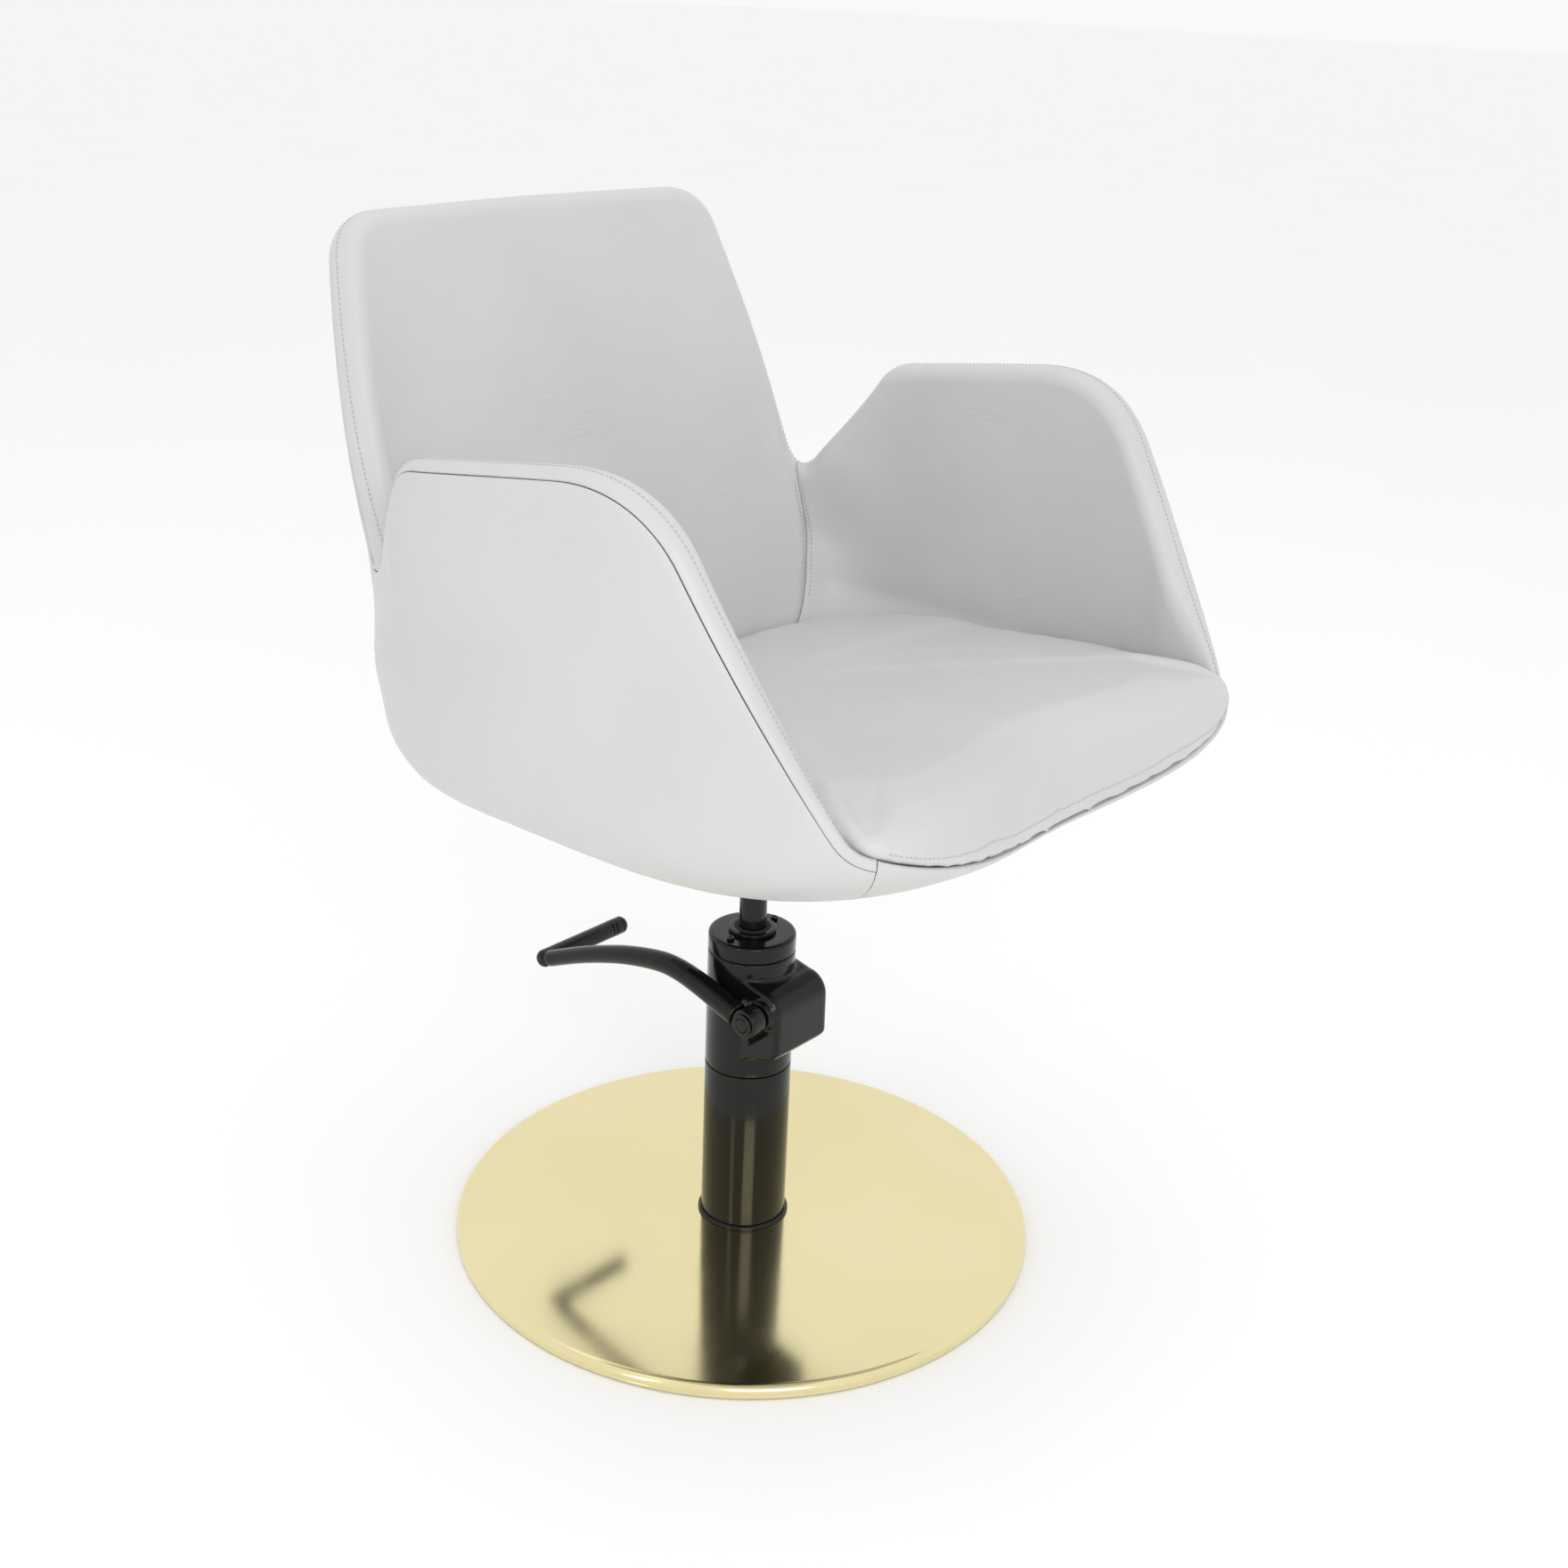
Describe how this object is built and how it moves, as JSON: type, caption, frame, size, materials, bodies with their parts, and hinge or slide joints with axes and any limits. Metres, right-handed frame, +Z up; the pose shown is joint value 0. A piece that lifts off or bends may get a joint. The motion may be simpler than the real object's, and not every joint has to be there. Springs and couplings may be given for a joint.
{
  "type": "styling chair",
  "caption": "Hairdresser's styling chair: upholstered bucket seat with notched arm wings, on a foot-pumped hydraulic column and a round base.",
  "frame": {"origin": "on the swivel axis at floor level, at the centre of the base's underside", "axes": "+Z up along the swivel and lift axis, -Y the way the sitter faces, +X to the sitter's left"},
  "size_m": [0.652, 0.6737, 0.956],
  "materials": {
    "gold_plate": "mirror-polished pale gold plate",
    "black_enamel": "gloss black enamel",
    "plain_steel": "plain machined steel",
    "bushing_bronze": "sintered bronze",
    "black_rubber": "matt black rubber",
    "white_leather": "white upholstery leatherette with a fine grain",
    "plywood": "moulded birch plywood"
  },
  "bodies": {
    "base": {"floor_mat": "black_rubber", "base_plate": "plain_steel", "base_cover": "gold_plate", "pump_foot": "plain_steel", "column_bolt_1": "plain_steel", "column_bolt_2": "plain_steel", "column_bolt_3": "plain_steel", "column_bolt_4": "plain_steel", "foot_collar": "black_enamel", "column_tube": "black_enamel", "pump_cylinder": "plain_steel", "pump_body": "black_enamel", "guide_bush": "bushing_bronze", "pump_cap": "black_enamel", "gland_nut": "black_enamel", "wiper_ring": "black_rubber", "cap_screw_1": "black_enamel", "cap_screw_2": "black_enamel", "pivot_bush_left": "bushing_bronze", "pivot_bush_right": "bushing_bronze", "stop_screw": "black_enamel"},
    "pedal": {"pivot_shaft": "black_enamel", "pump_rocker": "plain_steel", "pedal_hub": "black_enamel", "circlip_left": "black_enamel", "circlip_right": "black_enamel", "pedal_arm": "black_enamel", "foot_bar": "black_enamel", "foot_cap_right": "black_enamel", "foot_cap_left": "black_enamel"},
    "plunger": {"plunger": "plain_steel", "plunger_spring": "plain_steel"},
    "rod": {"piston_rod": "black_enamel", "piston_head": "plain_steel", "piston_seal": "black_rubber"},
    "seat": {"seat_socket": "black_enamel", "mounting_plate": "black_enamel", "seat_bolt_1": "black_enamel", "seat_bolt_2": "black_enamel", "seat_bolt_3": "black_enamel", "seat_bolt_4": "black_enamel", "seat_board": "plywood", "shell_frame": "plywood", "bottom_cover": "white_leather", "front_cover": "white_leather", "back_cover": "white_leather", "side_cover_right": "white_leather", "side_cover_left": "white_leather", "back_pad": "white_leather", "arm_pad_right": "white_leather", "arm_pad_left": "white_leather", "seat_cushion": "white_leather"}
  },
  "joints": [
    {"name": "lift", "type": "slide", "parent": "base", "child": "rod", "axis": [0, 0, 1], "range_m": [-0.11, 0.04]},
    {"name": "swivel", "type": "hinge", "parent": "rod", "child": "seat", "pos_m": [0, 0, 0.46], "axis": [0, 0, 1], "continuous": true},
    {"name": "pedal_press", "type": "hinge", "parent": "base", "child": "pedal", "pos_m": [0, -0.046, 0.258], "axis": [1, 0, 0], "range_deg": [-20, 0], "stiffness_Nm_per_rad": 10, "springref_deg": 28.65},
    {"name": "plunger_stroke", "type": "slide", "parent": "base", "child": "plunger", "axis": [0, 0, 1], "range_m": [-0.0055, 0.0001], "deforming": ["plunger_spring"]}
  ],
  "couplings": [
    {"joint": "plunger_stroke", "follows": "pedal_press", "m_per_rad": 0.0151}
  ]
}
